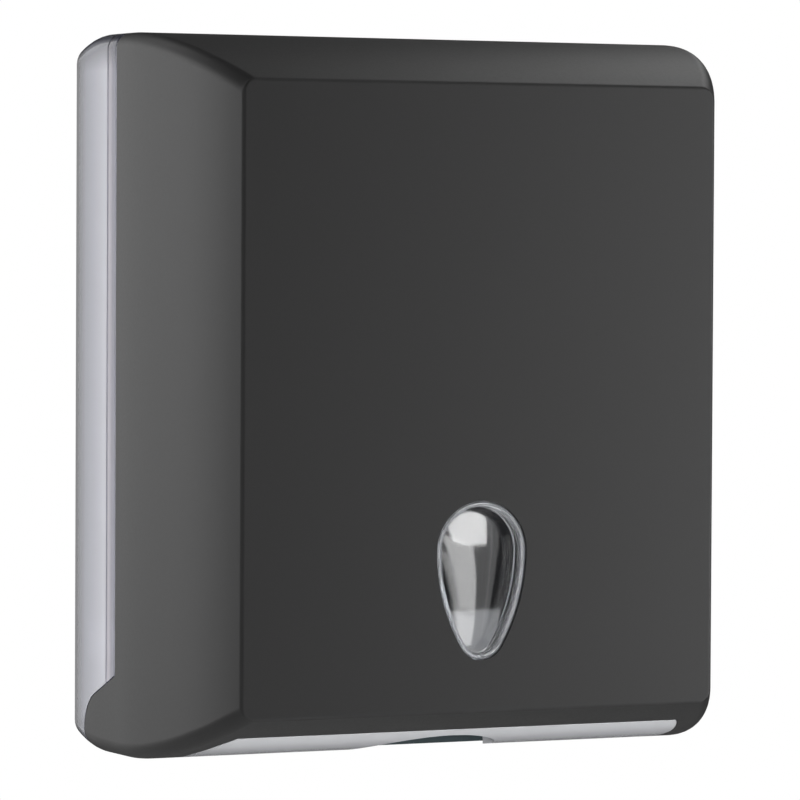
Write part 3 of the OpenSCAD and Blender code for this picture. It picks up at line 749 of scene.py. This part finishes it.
def make_window():
    """Clear window: flange behind the cover, rounded rim, dish wall and a bulged pane."""
    bm = bmesh.new()
    rim_in, rim_low, rim_high = 1.1, 132.8, 1.1
    flange = 3.2
    profile = [(flange, FLANGE_FRONT), (0.0, FLANGE_FRONT), (0.0, rim_low)]
    for step in range(1, 9):
        angle = math.pi * step / 8
        profile.append((-rim_in + rim_in * math.cos(angle), rim_low + rim_high * math.sin(angle)))
    profile += [(-2.42, 129.5), (-2.45, 127.6), (PANE_GROW, PANE_EDGE)]
    loops = [egg_loop(bm, grow, depth) for grow, depth in profile]
    middle = Vector((0, 0, 0.5 * (WINDOW_Z + WINDOW_R + TIP_Z - TIP_R)))

    def pane_loop(part, thick):
        edges = egg_loop(bm, PANE_GROW, 0)
        verts = {vert for edge in edges for vert in edge.verts}
        for vert in verts:
            vert.co = middle + part * (vert.co - middle)
            vert.co.y = thick - pane_depth(vert.co.x, vert.co.z)
        return edges

    parts = [0.95, 0.88, 0.78, 0.66, 0.53, 0.4, 0.27, 0.14, 0.05]
    loops += [pane_loop(part, 0) for part in parts]
    front_end = loops[-1]
    loops_back = [pane_loop(part, PANE_THICK) for part in reversed(parts)]
    back_start = loops_back[0]
    profile_back = [
        (PANE_GROW, 125.6), (-1.6, 125.3), (-0.6, 125.5), (0.0, 126.2),
        (0.0, FLANGE_BACK), (flange, FLANGE_BACK),
    ]
    loops_back += [egg_loop(bm, grow, depth) for grow, depth in profile_back]
    for chain in (loops, loops_back):
        for first, second in zip(chain, chain[1:]):
            bmesh.ops.bridge_loops(bm, edges=first + second)
    bmesh.ops.bridge_loops(bm, edges=loops_back[-1] + loops[0])
    bmesh.ops.contextual_create(bm, geom=front_end)
    bmesh.ops.contextual_create(bm, geom=back_start)
    haze = bm.verts.layers.float.new("haze")
    for vert in bm.verts:
        on_rim = abs(vert.co.x) > egg_half_width(vert.co.z, PANE_GROW + 0.1)
        vert[haze] = float(on_rim and -vert.co.y > 131)
    close_up(bm)
    return finish_piece("window_lens", bm, "window", "cover", "clear_window", "sight_window")


def soft_box(name, place, target, width, height, bright, only=(), through=False, spare=False):
    """Studio soft box of a width and height in metres, and a brightness where white is 1.

    It can be kept to some pieces, can shine through all others, or can spare those pieces instead."""
    data = bpy.data.lights.new(name, "AREA")
    data.shape = "RECTANGLE"
    data.size = width
    data.size_y = height
    data.energy = bright * math.pi * width * height
    lamp = bpy.data.objects.new(name, data)
    lamp.location = place
    lamp.rotation_euler = (Vector(target) - Vector(place)).to_track_quat("-Z", "Y").to_euler()
    lamp.visible_camera = False
    bpy.context.scene.collection.objects.link(lamp)
    if only:
        lit = bpy.data.collections.new(name + "_lights")
        for piece in only:
            lit.objects.link(piece)
        lamp.light_linking.receiver_collection = lit
        if through:
            lamp.light_linking.blocker_collection = lit
        for entry in lit.collection_objects:
            entry.light_linking.link_state = "EXCLUDE" if spare else "INCLUDE"


def make_lamps(casing, tray, lens):
    """Soft boxes for the cover and casing, then those for the tray, and those that the window shows."""
    soft_box("left_box", (-1.6, 0.5, 0.3), (0, -0.06, 0), 0.9, 1.5, 4.1)
    soft_box("left_back_box", (-0.95, 1.5, 0.36), (-0.14, -0.03, 0.1), 1.0, 1.25, 1.05, [casing], spare=True)
    soft_box("casing_back_box", (-0.95, 1.5, 0.1), (-0.14, -0.03, 0), 1.0, 1.6, 1.0, [casing])
    soft_box("right_box", (0.75, -0.7, 0.0), (0, -0.1, -0.05), 0.35, 1.0, 4.9, [lens], spare=True)
    soft_box("right_low_box", (0.55, -0.42, -0.25), (0.05, -0.13, -0.1), 0.25, 0.4, 0.8, [lens], spare=True)
    soft_box("low_box", (0.1, -1.3, -0.75), (0, -0.1, -0.05), 0.8, 0.4, 1.7)
    soft_box("back_box", (0.80, 0.45, 0.92), (0, -0.08, 0.15), 0.5, 0.5, 2.9)
    soft_box("crease_top_box", (0.62, -0.75, 1.2), (0, -0.13, 0.14), 0.6, 1.0, 1.1)
    soft_box("crease_low_box", (0.45, -0.6, -1.0), (0, -0.13, -0.14), 0.6, 0.5, 1.2)
    soft_box("crease_left_box", (-1.0, -1.3, 0.0), (-0.13, -0.13, 0), 0.9, 1.6, 0.8)
    soft_box("corner_top_box", (-0.65, 0.66, 1.3), (-0.14, -0.08, 0.16), 0.6, 0.6, 2.4, [casing], spare=True)
    soft_box("tray_box", (0.0, -1.5, 0.0), (0, -0.06, -0.14), 0.8, 0.5, 6.5, [tray], through=True)
    soft_box("tray_low_box", (0.0, -0.9, -0.9), (0, -0.06, -0.16), 0.8, 0.5, 4.0, [tray], through=True)
    soft_box("window_strip", (0.125, -1.04, -0.13), (0.125, 0, -0.13), 0.48, 0.54, 4.5, [lens])
    soft_box("window_strip_tip", (0.125, -1.04, -0.675), (0.125, 0, -0.675), 0.48, 0.55, 2.6, [lens])
    soft_box("window_strip_low", (-0.20, -1.04, -0.50), (-0.20, 0, -0.50), 0.17, 0.90, 2.6, [lens])
    soft_box("window_room", (0.32, -0.95, -0.2), (0.32, 0, -0.2), 1.0, 1.5, 0.9, [lens])
    soft_box("window_top_box", (0.32, -0.96, 0.36), (0.09, -0.1, -0.05), 0.66, 0.5, 8.4, [lens])
    soft_box("window_side_box", (0.66, -0.72, -0.2), (0, -0.12, -0.07), 0.16, 1.5, 0.9, [lens])
    soft_box("rim_left_box", (-0.85, -0.55, 0.0), (0, -0.13, -0.08), 0.7, 1.1, 6.0, [lens])
    soft_box("rim_top_box", (-0.1, -0.38, 0.85), (0, -0.13, -0.05), 0.9, 0.5, 6.0, [lens])
    soft_box("rim_low_box", (0.25, -0.3, -0.95), (0, -0.13, -0.12), 0.6, 0.5, 9.0, [lens])


def make_world():
    """White to the camera. Other rays see a backdrop that is bright behind the part and a dim room in front."""
    world = bpy.data.worlds.new("studio")
    bpy.context.scene.world = world
    world.use_nodes = True
    tree = world.node_tree
    tree.nodes.clear()

    def backdrop(towards, start, end, room, bright):
        """Background that is bright round one direction, and a dim room elsewhere."""
        near = tree.nodes.new("ShaderNodeVectorMath")
        near.operation = "DOT_PRODUCT"
        near.inputs[1].default_value = towards
        tree.links.new(direction, near.inputs[0])
        ramp = tree.nodes.new("ShaderNodeMapRange")
        ramp.interpolation_type = "SMOOTHSTEP"
        for name, value in {"From Min": start, "From Max": end, "To Min": room, "To Max": bright}.items():
            ramp.inputs[name].default_value = value
        tree.links.new(near.outputs["Value"], ramp.inputs["Value"])
        light = tree.nodes.new("ShaderNodeBackground")
        tree.links.new(ramp.outputs[0], light.inputs["Strength"])
        return light.outputs[0]

    def choose(ray, otherwise, seen):
        mix = tree.nodes.new("ShaderNodeMixShader")
        tree.links.new(rays.outputs[ray], mix.inputs["Fac"])
        tree.links.new(otherwise, mix.inputs[1])
        tree.links.new(seen, mix.inputs[2])
        return mix.outputs[0]

    rays = tree.nodes.new("ShaderNodeLightPath")
    direction = tree.nodes.new("ShaderNodeTexCoord").outputs["Generated"]
    white = tree.nodes.new("ShaderNodeBackground")
    white.inputs["Color"].default_value = (1, 1, 1, 1)
    behind = (0, 1, 0)
    behind_left = (-0.45, 0.89, 0)
    glow = backdrop(behind_left, 0.78, 0.97, 0.05, 1.0)
    room = choose("Is Glossy Ray", backdrop(behind, -0.2, 0.7, 0.06, 0.14), glow)
    room = choose("Is Transmission Ray", room, backdrop(behind, -0.2, 0.7, 0.12, 1.0))
    room = choose("Is Camera Ray", room, white.outputs[0])
    out = tree.nodes.new("ShaderNodeOutputWorld")
    tree.links.new(room, out.inputs["Surface"])


def make_stage():
    """Pale round floor well below the part. It fades to white at its edge, and from below it is not seen."""
    bm = bmesh.new()
    bmesh.ops.create_circle(bm, segments=96, radius=1.8, cap_ends=True)
    bmesh.ops.translate(bm, verts=bm.verts, vec=(0, 0, cad_box[0].z - 0.90))
    bmesh.ops.recalc_face_normals(bm, faces=bm.faces)
    for face in bm.faces:
        if face.normal.z < 0:
            face.normal_flip()
    floor = mesh_object("floor", bm)
    finish = Finish("pale_floor")
    finish.feed(finish.blend(finish.noise(3, 2), (0.84, 0.84, 0.84), (0.87, 0.87, 0.87)), "Base Color")
    finish.set(Roughness=0.8)
    reach = finish.add("VectorMath", operation="LENGTH")
    finish.join(finish.place, reach.inputs[0])
    fade = finish.spread(reach.outputs["Value"], 0.65, 1.0, 1.15, 1.95)
    seen = finish.product(fade, finish.add("LightPath").outputs["Is Camera Ray"])
    white = finish.add("Emission", {"Strength": 1.0})
    top = finish.mixed(seen, finish.shader.outputs[0], white.outputs[0])
    below = finish.add("NewGeometry").outputs["Backfacing"]
    both = finish.mixed(below, top, finish.add("BsdfTransparent").outputs[0])
    finish.join(both, finish.out.inputs["Surface"])
    floor.data.materials.append(finish.material)


make_camera()
looks = make_looks()
dress()
casing = make_casing()
make_cover()
lens = make_window()
make_lamps(casing, nodes["dispensing_tray"], lens)
make_world()
make_stage()
bpy.context.scene.view_settings.view_transform = "Standard"
